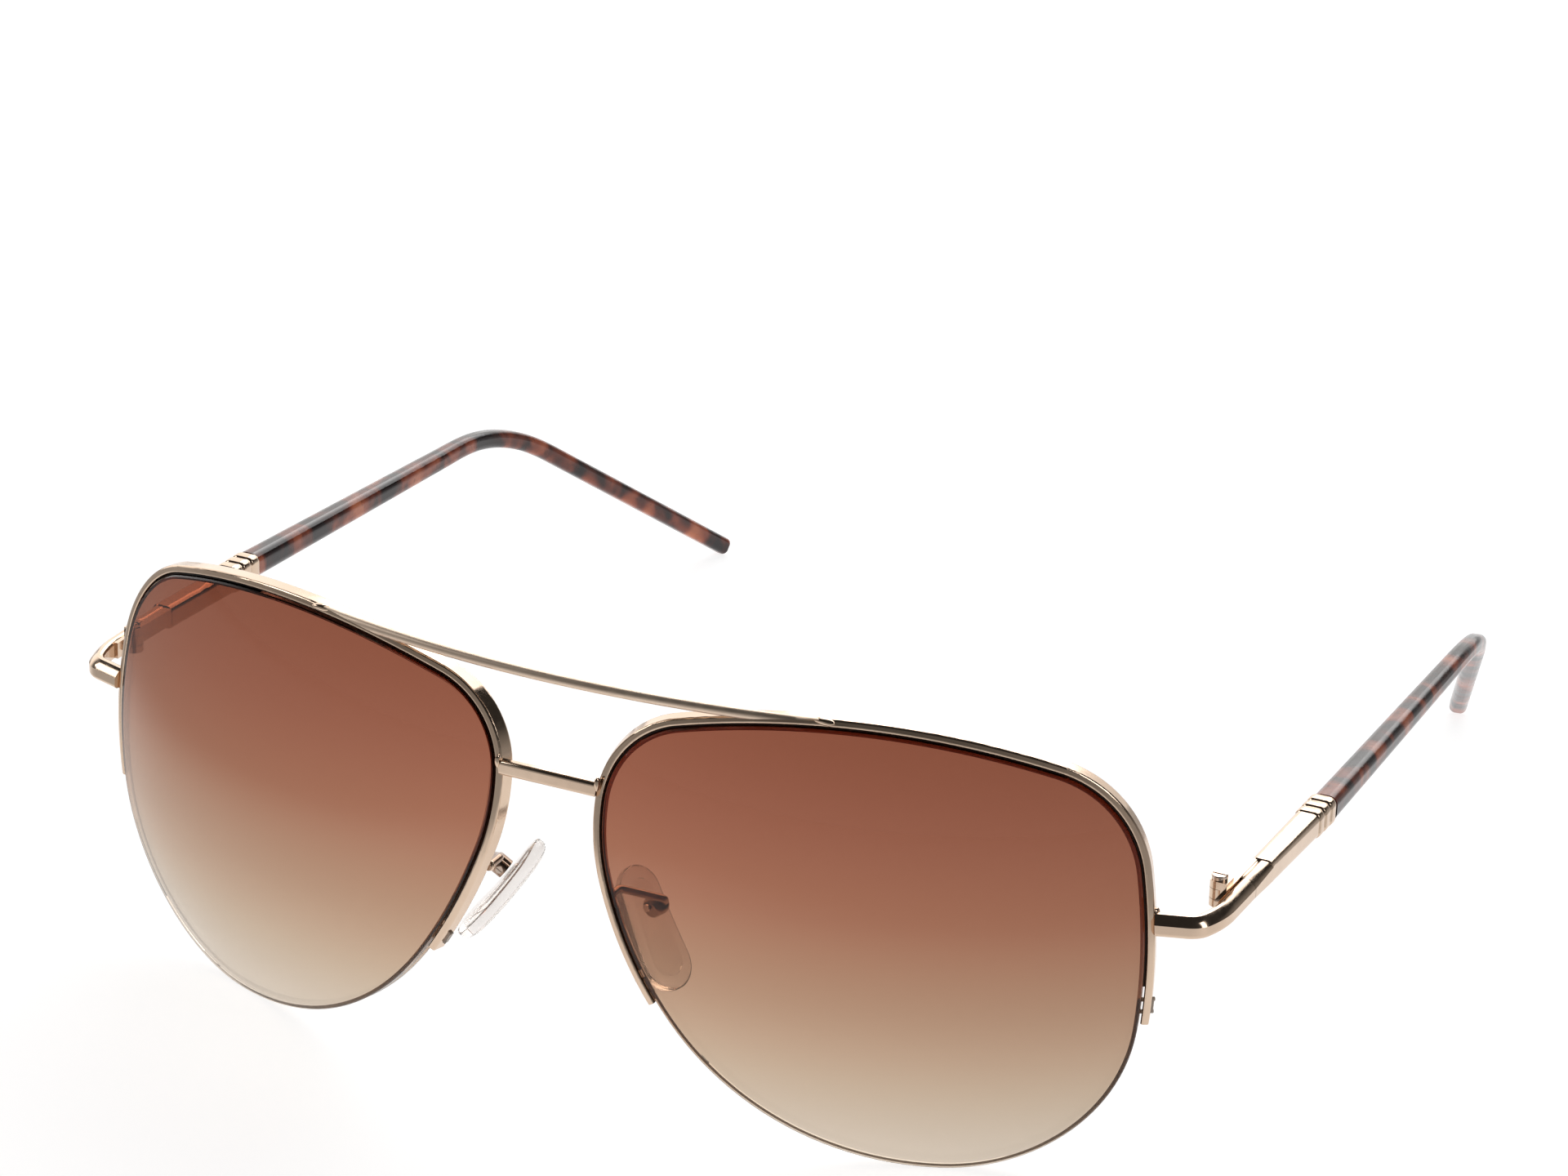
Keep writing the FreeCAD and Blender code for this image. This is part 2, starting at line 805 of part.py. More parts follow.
def core_tube(extra):
    """Core wire, or the bore for it with extra on the radius."""
    path = core_path(size("core_overlap") + extra, size("core_short_of_tip") - extra)
    return swept(path, wire_section(path, size("core_radius") + extra))


def upright_section(side, back, up, width, height, bevel=0.0):
    """Rounded section of the temple square to Y."""
    corner = size("corner_share") * min(width, height)
    centre = row_point(side, back, up)
    return rounded_section(centre, Vector(1, 0, 0), Vector(0, 0, 1), width, height, corner, bevel)


def bevel_at(back):
    """Bevel of the outer top edge, which dies away towards the ferrule."""
    span = size("ferrule_start") - size("neck_end")
    share = min(max((back - size("neck_end")) / span, 0.0), 1.0)
    return size("neck_bevel") + (size("shaft_bevel") - size("neck_bevel")) * share


def bar_axis(back):
    """Middle of the shaft at a distance behind the datum: its outer side stays flush."""
    span = size("sleeve_back") - size("endpiece_end")
    share = (back - size("endpiece_end")) / span
    up = size("endpiece_up") + (size("sleeve_up") - size("endpiece_up")) * share
    outside = size("endpiece_side") + size("endpiece_thickness") / 2
    width = size("shaft_thickness") + (size("sleeve_thickness") - size("shaft_thickness")) * share
    height = size("shaft_height") + (size("sleeve_height") - size("shaft_height")) * share
    return outside - width / 2, up, width, height


def shaft_section(back, grow=0.0):
    """Section of the thick part of the temple bar."""
    side, up, width, height = bar_axis(back)
    return upright_section(side, back, up, width + 2 * grow, height + 2 * grow, bevel_at(back))


def neck_section(back, up, flare, bevel):
    """Section of the thin part of the temple bar, like the endpiece."""
    thickness, height = size("endpiece_thickness"), size("endpiece_height") + flare
    return upright_section(size("endpiece_side"), back, up, thickness, height, size(bevel))


def make_temple_bar():
    """Metal part of the temple: a neck like the endpiece, a shoulder and a growing shaft."""
    front = size("endpiece_end") + size("temple_gap")
    neck_end, shoulder = size("neck_end"), size("shoulder")
    _, neck_up, _, _ = bar_axis(neck_end)
    neck = Part.makeLoft(
        [
            neck_section(front, size("endpiece_up"), 0.0, "endpiece_bevel"),
            neck_section(neck_end + size("neck_overlap"), neck_up, size("neck_flare"), "neck_bevel"),
        ],
        True,
    )
    shaft = Part.makeLoft(
        [
            shaft_section(neck_end, -shoulder),
            shaft_section(neck_end + shoulder),
            shaft_section(size("ferrule_start")),
        ],
        True,
        True,
    )
    bar = neck.fuse(shaft).removeSplitter().cut(core_tube(size("fit_gap")))
    return keep(feature("temple_bar_left", max(bar.Solids, key=lambda s: s.Volume)), "temple_bar_left")


# Rib of the ferrule: (share of the pitch, share of the rib's depth).
RIB_PROFILE = ((0.07, -0.5), (0.2, 0.8), (0.5, 1.0), (0.8, 0.8), (0.93, -0.5))


def make_ferrule():
    """Collar with rounded ribs between the metal and the sleeve."""
    start = size("ferrule_start") + size("fit_gap")
    end = size("sleeve_back") - size("ferrule_gap")
    inset = -size("ferrule_inset")
    collar = Part.makeLoft([shaft_section(start, inset), shaft_section(end, inset)], True)
    pieces = []
    pitch = (end - start) / size("rib_count")
    depth = size("rib_depth")
    for number in range(int(size("rib_count"))):
        back = start + number * pitch
        sections = [shaft_section(back + along * pitch, deep * depth) for along, deep in RIB_PROFILE]
        pieces.append(Part.makeLoft(sections, True))
    ferrule = collar.multiFuse(pieces).removeSplitter().cut(core_tube(size("fit_gap")))
    return keep(
        feature("temple_ferrule_left", max(ferrule.Solids, key=lambda s: s.Volume)),
        "temple_ferrule_left",
    )


def sleeve_stations():
    """Points and directions along the sleeve, with the share of its length reached."""
    start, knee, tip = temple_points()
    ahead = (knee - start).normalize()
    after = (tip - knee).normalize()
    turn = ahead.getAngle(after)
    bend = size("knee_bend")
    reach = bend * math.tan(turn / 2)
    inwards = (after - ahead * after.dot(ahead)).normalize()
    first = (knee - start).Length - reach
    last = (tip - knee).Length - reach
    total = first + bend * turn + last
    centre = knee - ahead * reach + inwards * bend
    spacing = 4.0
    stations = []
    straight = round(first / spacing)
    for i in range(straight + 1):
        gone = first * i / straight
        stations.append((start + ahead * gone, ahead, gone / total))
    curved = round(bend * turn / spacing)
    for i in range(1, curved):
        angle = turn * i / curved
        point = centre - inwards * (bend * math.cos(angle)) + ahead * (bend * math.sin(angle))
        along = ahead * math.cos(angle) + inwards * math.sin(angle)
        stations.append((point, along, (first + bend * angle) / total))
    straight = round(last / spacing)
    for i in range(straight + 1):
        gone = last * i / straight
        point = knee + after * (reach + gone)
        stations.append((point, after, (first + bend * turn + gone) / total))
    normal = ahead.cross(after).normalize()
    return stations, normal


def sleeve_section(point, along, normal, lean, width, height, corner):
    """Section of the sleeve, kept at one angle to the plane of the bend."""
    in_plane = normal.cross(along)
    upright = in_plane * math.cos(lean) + normal * math.sin(lean)
    across = along.cross(upright)
    return rounded_section(point, across, upright, width, height, corner)


def make_sleeve():
    """Acetate sleeve that tapers along the temple and bends down and in behind the ear."""
    stations, normal = sleeve_stations()
    _, ahead, _ = stations[0]
    up = (Vector(0, 0, 1) - ahead * ahead.z).normalize()
    lean = math.atan2(up.dot(normal), up.dot(normal.cross(ahead)))
    wide, tall = size("sleeve_thickness"), size("sleeve_height")
    end_wide, end_tall = size("tip_thickness"), size("tip_height")
    sections = []
    for point, along, share in stations:
        taper = min(share / size("taper_share"), 1.0)
        width = wide + (end_wide - wide) * taper
        height = tall + (end_tall - tall) * taper
        sections.append(sleeve_section(point, along, normal, lean, width, height, 0.36 * width))
    sleeve = Part.makeLoft(sections, True)
    tip = stations[-1][0]
    end_edges = [edge for edge in sleeve.Edges if edge.CenterOfMass.distanceToPoint(tip) < wide]
    end_edges = [edge for edge in end_edges if abs((edge.CenterOfMass - tip).dot(along)) < 0.01]
    sleeve = sleeve.makeFillet(size("tip_round"), end_edges)
    sleeve = sleeve.cut(core_tube(size("fit_gap")))
    return keep(
        feature("temple_sleeve_left", max(sleeve.Solids, key=lambda s: s.Volume)),
        "temple_sleeve_left",
    )


def make_core():
    """Steel wire inside the sleeve that holds the ear bend."""
    return keep(feature("temple_core_left", core_tube(0.0)), "temple_core_left")


# --------------------------------------------------------------------- nose pads
def pad_axes():
    """Directions of the pad: down its length, across its width and towards the nose."""
    down = Vector(0.55, -0.27, -0.79).normalize()
    towards_nose = Vector(-0.78, 0.2, -0.6)
    towards_nose = (towards_nose - down * towards_nose.dot(down)).normalize()
    return down, towards_nose.cross(down), towards_nose


def pad_place():
    """Placement whose x is across the pad, y up its length and z towards the nose."""
    down, _, towards_nose = pad_axes()
    up = down * -1
    across = up.cross(towards_nose)
    return Placement(sized_point("pad"), Rotation(across, up, towards_nose, "ZXY"))


def pad_outline(inset=0.0):
    """Teardrop: a small arc at the top, a wide one at the bottom, straight tangents."""
    top_radius = size("pad_top_width") / 2 - inset
    low_radius = size("pad_width") / 2 - inset
    top_y = size("pad_above") - size("pad_top_width") / 2
    low_y = size("pad_above") - size("pad_length") + size("pad_width") / 2
    tilt = math.asin((low_radius - top_radius) / (top_y - low_y))
    across, along = math.cos(tilt), math.sin(tilt)

    def tangent(side, radius, middle):
        return Vector(side * radius * across, middle + radius * along, 0)

    top = [tangent(1, top_radius, top_y), Vector(0, top_y + top_radius, 0), tangent(-1, top_radius, top_y)]
    low = [tangent(-1, low_radius, low_y), Vector(0, low_y - low_radius, 0), tangent(1, low_radius, low_y)]
    return [
        Part.Arc(*top),
        Part.LineSegment(top[2], low[0]),
        Part.Arc(*low),
        Part.LineSegment(low[2], top[0]),
    ]


def make_nose_pad():
    """Soft silicone pad with rounded edges and a recess for the stiff insert."""
    body = doc.addObject("PartDesign::Body", "nose_pad_body")
    sketch = body.newObject("Sketcher::SketchObject", "pad_outline")
    plane = [o for o in body.Origin.OriginFeatures if o.Role == "XY_Plane"][0]
    sketch.AttachmentSupport = [(plane, "")]
    sketch.MapMode = "FlatFace"
    for curve in pad_outline():
        sketch.addGeometry(curve)
    for number in range(4):
        sketch.addConstraint(Sketcher.Constraint("Coincident", number, 2, (number + 1) % 4, 1))
    sketch.AttachmentOffset = Placement(Vector(0, 0, size("pad_stand_off")), Rotation())
    pad = body.newObject("PartDesign::Pad", "pad_body")
    pad.Profile = sketch
    pad.setExpression("Length", "Sizes.pad_thickness")
    doc.recompute()
    round_edges = body.newObject("PartDesign::Fillet", "pad_rounding")
    round_edges.Base = (pad, flat_edges(pad.Shape))
    round_edges.setExpression("Radius", "Sizes.pad_round")
    body.Tip = round_edges
    doc.recompute()
    recess = feature("pad_recess", insert_plate(size("fit_gap")))
    soft = boolean("Part::Cut", "nose_pad_left", body, recess)
    soft.Placement = pad_place()
    return keep(soft, "nose_pad_left")


def flat_edges(shape):
    """Names of the edges that lie square to Z."""
    return ["Edge%d" % n for n, e in enumerate(shape.Edges, start=1) if e.BoundBox.ZLength < 0.01]


def insert_plate(extra):
    """Stiff plate in the back of the pad."""
    wires = Part.Wire([curve.toShape() for curve in pad_outline(size("insert_inset") - extra)])
    face = Part.Face(wires)
    return face.translated(Vector(0, 0, size("pad_stand_off") - extra)).extrude(
        Vector(0, 0, size("insert_thickness") + 2 * extra)
    )


def make_pad_insert():
    """Plate with the lug that hangs on the pad screw."""
    lug = Part.makeCylinder(
        size("lug_radius"),
        size("pad_stand_off") + size("lug_foot") + size("lug_overlap"),
        Vector(0, 0, -size("lug_foot")),
    )
    bore = size("pad_screw_radius") + size("lug_clearance")
    reach = size("cup_radius")
    hole = Part.makeCylinder(bore, 2 * reach, Vector(-reach, 0, 0), Vector(1, 0, 0))
    solid = insert_plate(0.0).fuse(lug).cut(hole)
    return keep(feature("pad_insert_left", solid, pad_place()), "pad_insert_left")


def make_pad_box():
    """Small metal cup at the end of the arm that holds the lug of the pad."""
    foot = "-Sizes.cup_depth / 2 - Sizes.cup_drop"
    cup = bound("Part::Cylinder", "cup", Radius="Sizes.cup_radius", Height="Sizes.cup_depth")
    cup.setExpression("Placement.Base.z", foot)
    doc.recompute()
    lowest = cup.Shape.BoundBox.ZMin
    softened = doc.addObject("Part::Fillet", "cup_round")
    softened.Base = cup
    softened.Edges = [
        (number, size("cup_round"), size("cup_round"))
        for number, edge in enumerate(cup.Shape.Edges, start=1)
        if edge.Closed and edge.CenterOfMass.z < lowest + size("fit_gap")
    ]
    bore = bound("Part::Cylinder", "cup_bore", Radius="Sizes.cup_bore", Height="Sizes.cup_depth")
    bore.setExpression("Placement.Base.z", "%s + Sizes.cup_bore_lift" % foot)
    cross = bound(
        "Part::Cylinder",
        "cup_cross_hole",
        Radius="Sizes.pad_screw_radius + Sizes.fit_gap / 2",
        Height="4 * Sizes.cup_radius",
    )
    cross.Placement = Placement(Vector(-2 * size("cup_radius"), 0, 0), Rotation(Vector(0, 1, 0), 90))
    box = boolean("Part::Cut", "pad_box_left", softened, fuse("cup_room", [bore, cross]))
    box.Placement = pad_place()
    return keep(box, "pad_box_left")


def make_pad_screw():
    """Tiny screw across the cup, on which the pad rocks."""
    reach, over = size("cup_radius"), size("pad_screw_over")
    radius, head_radius = size("pad_screw_radius"), size("pad_screw_head")
    thick, deep, wide = (
        size(name) for name in ("pad_screw_head_height", "pad_screw_slot_depth", "pad_screw_slot")
    )
    along = Vector(1, 0, 0)
    shank = Part.makeCylinder(radius, 2 * reach + 2 * over, Vector(-reach, 0, 0), along)
    head = Part.makeCylinder(head_radius, thick, Vector(reach + over, 0, 0), along)
    bottom = Vector(reach + over + thick - deep, -wide / 2, -2 * head_radius)
    slot = Part.makeBox(2 * deep, wide, 4 * head_radius, bottom)
    return keep(feature("pad_screw_left", shank.fuse(head).cut(slot), pad_place()), "pad_screw_left")


def make_pad_arm():
    """Wire loop from the back of the rim to the cup."""
    place = pad_place()
    floor = -size("cup_depth") / 2 - size("cup_drop")
    joint = place.multVec(Vector(0, 0, floor))
    lead = place.multVec(Vector(0, 0, floor - size("arm_lead")))
    depth = size("lens_thickness") + size("rim_proud") - size("arm_sink")
    rim = lens_place().multVec(edge_point(size("arm_root"), size("rim_width"), depth))
    points = [
        rim,
        rim + Vector(0, size("arm_reach"), 0),
        lead,
        joint,
    ]
    path = rounded_path(points, [size("arm_bend"), size("arm_bend") / 2])
    arm = swept(path, wire_section(path, size("arm_wire") / 2))
    return keep(feature("pad_arm_left", arm), "pad_arm_left")


# --------------------------------------------------------------------- assembly
LEFT_MAKERS = (
    make_lens,
    make_rim,
    make_liner,
    make_line,
    make_endpiece,
    make_front_hinge,
    make_temple_hinge,
    make_hinge_screw,
    make_temple_bar,
    make_ferrule,
    make_sleeve,
    make_core,
    make_nose_pad,
    make_pad_insert,
    make_pad_box,
    make_pad_screw,
    make_pad_arm,
)


def build():
    """Make every node."""
    make_brow_bar()
    make_bridge()
    for maker in LEFT_MAKERS:
        left = maker()
        doc.recompute()
        mirror_to_right(left, left.Label.replace("_left", "_right"))
    doc.recompute()


def check():
    """Stop on a failed object or an invalid piece."""
    for part in doc.Objects:
        if "Invalid" in part.State or "Error" in part.State:
            raise RuntimeError("%s failed: %s" % (part.Name, part.State))
    for node in nodes:
        if node.Shape.isNull() or not node.Shape.isValid() or node.Shape.Volume <= 0:
            raise RuntimeError("%s has no valid solid" % node.Label)


def export():
    """Write each node to its own file."""
    os.makedirs("parts", exist_ok=True)
    for node in nodes:
        node.Shape.exportStep("parts/%s.step" % node.Label)
        box = node.Shape.BoundBox
        print(
            "%-22s solids %d volume %8.2f  x %7.2f %7.2f  y %7.2f %7.2f  z %6.2f %6.2f"
            % (
                node.Label,
                len(node.Shape.Solids),
                node.Shape.Volume,
                box.XMin,
                box.XMax,
                box.YMin,
                box.YMax,
                box.ZMin,
                box.ZMax,
            )
        )


build()
check()
export()
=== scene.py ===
import math

import bmesh
import bpy
from mathutils import Matrix, Vector


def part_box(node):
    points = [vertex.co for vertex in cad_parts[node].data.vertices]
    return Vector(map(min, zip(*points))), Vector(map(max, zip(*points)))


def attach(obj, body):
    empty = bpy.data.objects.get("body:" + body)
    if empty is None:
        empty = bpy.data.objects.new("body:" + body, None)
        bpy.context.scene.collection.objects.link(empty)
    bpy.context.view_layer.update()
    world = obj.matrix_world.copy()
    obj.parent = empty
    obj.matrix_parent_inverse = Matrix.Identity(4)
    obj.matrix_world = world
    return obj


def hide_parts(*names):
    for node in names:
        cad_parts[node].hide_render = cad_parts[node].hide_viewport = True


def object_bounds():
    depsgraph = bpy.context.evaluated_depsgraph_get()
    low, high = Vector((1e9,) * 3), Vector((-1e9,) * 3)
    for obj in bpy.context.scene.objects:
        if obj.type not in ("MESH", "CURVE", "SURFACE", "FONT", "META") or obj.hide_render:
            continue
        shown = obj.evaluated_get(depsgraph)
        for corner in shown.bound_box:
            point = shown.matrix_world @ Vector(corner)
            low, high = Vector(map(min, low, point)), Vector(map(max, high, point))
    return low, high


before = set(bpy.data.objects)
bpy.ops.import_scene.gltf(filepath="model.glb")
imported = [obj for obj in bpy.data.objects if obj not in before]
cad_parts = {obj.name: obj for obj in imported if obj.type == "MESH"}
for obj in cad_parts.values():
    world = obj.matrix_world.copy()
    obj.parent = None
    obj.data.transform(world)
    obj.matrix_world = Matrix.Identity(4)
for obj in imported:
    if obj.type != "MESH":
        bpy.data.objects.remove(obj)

# Looks of the semi-rimless aviator sunglasses. Metres, in the frame of the CAD model:
# +X the wearer's left, +Y from the lenses back to the ears, +Z up.

CAD_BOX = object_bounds()
MM = 0.001
SIDES = (("left", 1.0), ("right", -1.0))


# ------------------------------------------------------------------ node helpers
def new_material(name):
    """Empty node material with its Principled shader wired to the output."""
    material = bpy.data.materials.new(name)
    material.use_nodes = True
    tree = material.node_tree
    return material, tree, tree.nodes["Principled BSDF"]


def add_node(tree, kind, inputs=None, **settings):
    """Node with its settings; an input is a plain value or a socket to link."""
    node = tree.nodes.new(kind)
    for name, value in settings.items():
        setattr(node, name, value)
    for name, value in (inputs or {}).items():
        if isinstance(value, bpy.types.NodeSocket):
            tree.links.new(value, node.inputs[name])
        else:
            node.inputs[name].default_value = value
    return node


def place(tree, stretch=(1.0, 1.0, 1.0)):
    """Object position, stretched; an object's own origin is the origin of the model."""
    where = add_node(tree, "ShaderNodeTexCoord")
    inputs = {"Vector": where.outputs["Object"], "Scale": stretch}
    mapping = add_node(tree, "ShaderNodeMapping", inputs)
    return mapping.outputs["Vector"]


def noise(tree, vector, scale, detail=2.0, roughness=0.5, distortion=0.0):
    """Value of a noise texture."""
    inputs = {
        "Vector": vector,
        "Scale": scale,
        "Detail": detail,
        "Roughness": roughness,
        "Distortion": distortion,
    }
    return add_node(tree, "ShaderNodeTexNoise", inputs).outputs["Fac"]


def ramp(tree, factor, stops, interpolation="LINEAR"):
    """Colour ramp over (position, colour) stops."""
    node = add_node(tree, "ShaderNodeValToRGB", {"Fac": factor})
    node.color_ramp.interpolation = interpolation
    elements = node.color_ramp.elements
    while len(elements) < len(stops):
        elements.new(1.0)
    for element, (position, colour) in zip(elements, stops):
        element.position = position
        element.color = (*colour, 1.0)
    return node.outputs["Color"]


def spread(tree, value, low, high, from_low=0.3, from_high=0.7, smooth=False):
    """Value carried to another range."""
    inputs = {
        "Value": value,
        "From Min": from_low,
        "From Max": from_high,
        "To Min": low,
        "To Max": high,
    }
    kind = "SMOOTHERSTEP" if smooth else "LINEAR"
    return add_node(tree, "ShaderNodeMapRange", inputs, interpolation_type=kind).outputs["Result"]


def along_direction(tree, vector, direction):
    """How far a position lies along a direction."""
    inputs = {0: vector, 1: direction}
    node = add_node(tree, "ShaderNodeVectorMath", inputs, operation="DOT_PRODUCT")
    return node.outputs["Value"]


def bump(tree, height, distance, strength=1.0):
    """Bump normal; distance is in metres."""
    inputs = {"Height": height, "Distance": distance, "Strength": strength}
    return add_node(tree, "ShaderNodeBump", inputs).outputs["Normal"]


def blend_colour(tree, factor, first, second):
    """Mix of two colours."""
    node = add_node(tree, "ShaderNodeMix", data_type="RGBA")
    # Sockets of the mix node: 0 is the factor, 6 and 7 are its two colours.
    for index, value in ((0, factor), (6, first), (7, second)):
        socket = node.inputs[index]
        if isinstance(value, bpy.types.NodeSocket):
            tree.links.new(value, socket)
        else:
            socket.default_value = value if isinstance(value, float) else (*value, 1.0)
    return node.outputs[2]


# --------------------------------------------------------------------- materials
# Rose gold: (darker, paler) colour of the plating as new, of the brow bar and of the pad arms.
# The brow bar's paler colour is painted light for the white it reflects on top; the pad arms'
# darker colour is painted shade.
NEW_GOLD = ((0.65, 0.49, 0.37), (0.71, 0.545, 0.415))
PALE_GOLD = ((0.78, 0.62, 0.49), (0.84, 0.68, 0.54))
SHADED_GOLD = ((0.30, 0.20, 0.145), (0.42, 0.29, 0.21))
# Lowest and highest roughness of the two finishes.
POLISHED = (0.09, 0.2)
SATIN = (0.42, 0.52)


def rose_gold(name, tones, finish):
    """Rose-gold plating with faint cloudiness and hairline scratches."""
    material, tree, shader = new_material(name)
    cloud = noise(tree, place(tree), 110.0, 3.0)
    colour = ramp(tree, cloud, [(0.35, tones[0]), (0.65, tones[1])])
    tree.links.new(colour, shader.inputs["Base Color"])
    shader.inputs["Metallic"].default_value = 1.0
    fine = noise(tree, place(tree), 900.0, 4.0, 0.6)
    tree.links.new(spread(tree, fine, *finish), shader.inputs["Roughness"])
    scratch = noise(tree, place(tree, (1.0, 0.15, 1.0)), 5200.0, 2.0)
    tree.links.new(bump(tree, scratch, 2e-6, 0.35), shader.inputs["Normal"])
    return material


def steel(name, colour, scale):
    """Drawn or turned steel with fine marks."""
    material, tree, shader = new_material(name)
    marks = noise(tree, place(tree, (1.0, 1.0, 0.2)), scale, 3.0)
    tone = ramp(tree, marks, [(0.3, [0.8 * c for c in colour]), (0.7, colour)])
    tree.links.new(tone, shader.inputs["Base Color"])
    shader.inputs["Metallic"].default_value = 1.0
    tree.links.new(spread(tree, marks, 0.18, 0.34), shader.inputs["Roughness"])
    tree.links.new(bump(tree, marks, 3e-6, 0.4), shader.inputs["Normal"])
    return material


def pass_light(tree, shader, colour):
    """Let shadow rays straight through, tinted, past a clear shader."""
    light_path = add_node(tree, "ShaderNodeLightPath")
    through = add_node(tree, "ShaderNodeBsdfTransparent", {"Color": colour})
    both = add_node(tree, "ShaderNodeMixShader", {0: light_path.outputs["Is Shadow Ray"]})
    tree.links.new(shader.outputs["BSDF"], both.inputs[1])
    tree.links.new(through.outputs["BSDF"], both.inputs[2])
    tree.links.new(both.outputs["Shader"], tree.nodes["Material Output"].inputs["Surface"])


# What the lens lets through, by height: (share of the lens height, colour).
TINT = (
    (0.00, (0.66, 0.57, 0.47)),
    (0.10, (0.59, 0.49, 0.39)),
    (0.21, (0.535, 0.41, 0.295)),
    (0.31, (0.475, 0.318, 0.215)),
    (0.40, (0.412, 0.250, 0.160)),
    (0.50, (0.378, 0.197, 0.120)),
    (0.60, (0.348, 0.150, 0.089)),
    (0.79, (0.288, 0.101, 0.060)),
    (1.00, (0.236, 0.076, 0.043)),
)
# Factor on that colour at the nose and at the temple edge of a lens: painted light at the nose
# and painted shade at the temple edge.
TINT_SHADE_ACROSS = (1.10, 0.92)
LENS_IOR = 1.36


def tinted_lens():
    """Brown gradient lens, dark at the top and pale below, with painted light at the nose and
    painted shade towards the temple.
    """
    material, tree, shader = new_material("gradient_lens")
    low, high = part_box("lens_left")
    where = add_node(tree, "ShaderNodeSeparateXYZ", {"Vector": place(tree)})
    share = spread(tree, where.outputs["Z"], 0.0, 1.0, low.z, high.z)
    aside = add_node(tree, "ShaderNodeMath", {0: where.outputs["X"]}, operation="ABSOLUTE")
    # Painted light at the nose, painted shade at the temple edge of each lens.
    across_shade = spread(tree, aside.outputs[0], *TINT_SHADE_ACROSS, low.x, high.x)
    tint = add_node(
        tree,
        "ShaderNodeVectorMath",
        {0: ramp(tree, share, TINT, "B_SPLINE"), "Scale": across_shade},
        operation="SCALE",
    )
    tree.links.new(tint.outputs["Vector"], shader.inputs["Base Color"])
    shader.inputs["Transmission Weight"].default_value = 1.0
    shader.inputs["IOR"].default_value = LENS_IOR
    smear = noise(tree, place(tree), 45.0, 3.0, 0.6)
    tree.links.new(spread(tree, smear, 0.0, 0.02, 0.5, 0.8), shader.inputs["Roughness"])
    pass_light(tree, shader, shader.inputs["Base Color"].links[0].from_socket)
    return material


def clear_plastic(name, colour, roughness, ior, clear=1.0):
    """Clear polymer, slightly cloudy inside, that lets light through to the floor."""
    material, tree, shader = new_material(name)
    cloud = noise(tree, place(tree), 260.0, 3.0)
    tone = ramp(tree, cloud, [(0.3, [0.95 * c for c in colour]), (0.7, colour)])
    tree.links.new(tone, shader.inputs["Base Color"])
    shader.inputs["Transmission Weight"].default_value = clear
    shader.inputs["IOR"].default_value = ior
    tree.links.new(spread(tree, cloud, roughness, roughness + 0.06), shader.inputs["Roughness"])
    skin = noise(tree, place(tree), 1500.0, 2.0)
    tree.links.new(bump(tree, skin, 3e-6, 0.3), shader.inputs["Normal"])
    pass_light(tree, shader, tone)
    return material


def painted_shade_liner():
    """Plastic strip that lines the channel of the rim; its near-black colour is painted shade of
    the gap between the rim and the lens edge.
    """
    material, tree, shader = new_material("painted_shade_liner")
    grain = noise(tree, place(tree), 1200.0, 2.0)
    tone = ramp(tree, grain, [(0.3, (0.012, 0.006, 0.004)), (0.7, (0.03, 0.014, 0.009))])
    tree.links.new(tone, shader.inputs["Base Color"])
    tree.links.new(spread(tree, grain, 0.35, 0.5), shader.inputs["Roughness"])
    return material


def tortoise():
    """Polished tortoiseshell acetate: amber and red-brown patches in near-black."""
    material, tree, shader = new_material("tortoise")
    along = place(tree, (1.0, 1.25, 1.0))
    patches = noise(tree, along, 225.0, 1.4, 0.45, 0.35)
    base = ramp(
        tree,
        patches,
        [
            (0.38, (0.014, 0.008, 0.008)),
            (0.45, (0.050, 0.014, 0.010)),
            (0.52, (0.15, 0.035, 0.020)),
            (0.60, (0.32, 0.078, 0.038)),
            (0.74, (0.52, 0.16, 0.075)),
        ],
    )
    specks = noise(tree, place(tree), 900.0, 2.0, 0.6)
    dark = spread(tree, specks, 0.0, 0.5, 0.55, 0.75)
    colour = blend_colour(tree, dark, base, (0.02, 0.008, 0.005))
    tree.links.new(colour, shader.inputs["Base Color"])
    buff = noise(tree, place(tree), 500.0, 3.0)
    tree.links.new(spread(tree, buff, 0.12, 0.24), shader.inputs["Roughness"])
    shader.inputs["IOR"].default_value = 1.42
    shader.inputs["Coat Weight"].default_value = 0.2
    shader.inputs["Coat Roughness"].default_value = 0.08
    wave = noise(tree, place(tree), 300.0, 1.0)
    tree.links.new(bump(tree, wave, 8e-6, 0.5), shader.inputs["Normal"])
    return material


def paint_nodes():
    """Give every CAD node its material; the first prefix that fits a node decides."""
    gold = rose_gold("rose_gold", NEW_GOLD, POLISHED)
    # Brow bar gold made paler: painted light.
    satin = rose_gold("satin_gold", PALE_GOLD, SATIN)
    # Pad arm and pad box gold made darker: painted shade.
    shaded = rose_gold("shaded_gold", SHADED_GOLD, POLISHED)
    screw = steel("screw_steel", (0.74, 0.60, 0.50), 1800.0)
    wire = steel("core_steel", (0.6, 0.6, 0.6), 1200.0)
    glass = tinted_lens()
    nylon = clear_plastic("nylon", (0.46, 0.38, 0.31), 0.15, 1.5, 0.45)
    insert = clear_plastic("clear_insert", (0.97, 0.95, 0.93), 0.02, 1.06)
    silicone = clear_plastic("silicone", (0.95, 0.91, 0.88), 0.05, 1.3, 0.9)
    # The rim liner is painted near-black as the shade in the gap between rim and lens.
    liner = painted_shade_liner()
    acetate = tortoise()
    by_prefix = (
        ("lens_line", nylon),
        ("lens", glass),
        ("rim_liner", liner),
        ("hinge_screw", screw),
        ("pad_screw", screw),
        ("temple_core", wire),
        ("temple_sleeve", acetate),
        ("nose_pad", silicone),
        ("pad_insert", insert),
        ("brow_bar", satin),
        ("pad_box", shaded),
        ("pad_arm", shaded),
        ("", gold),
    )
    for name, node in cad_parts.items():
        material = next(m for prefix, m in by_prefix if name.startswith(prefix))
        node.data.materials.clear()
        node.data.materials.append(material)
    return gold, silicone


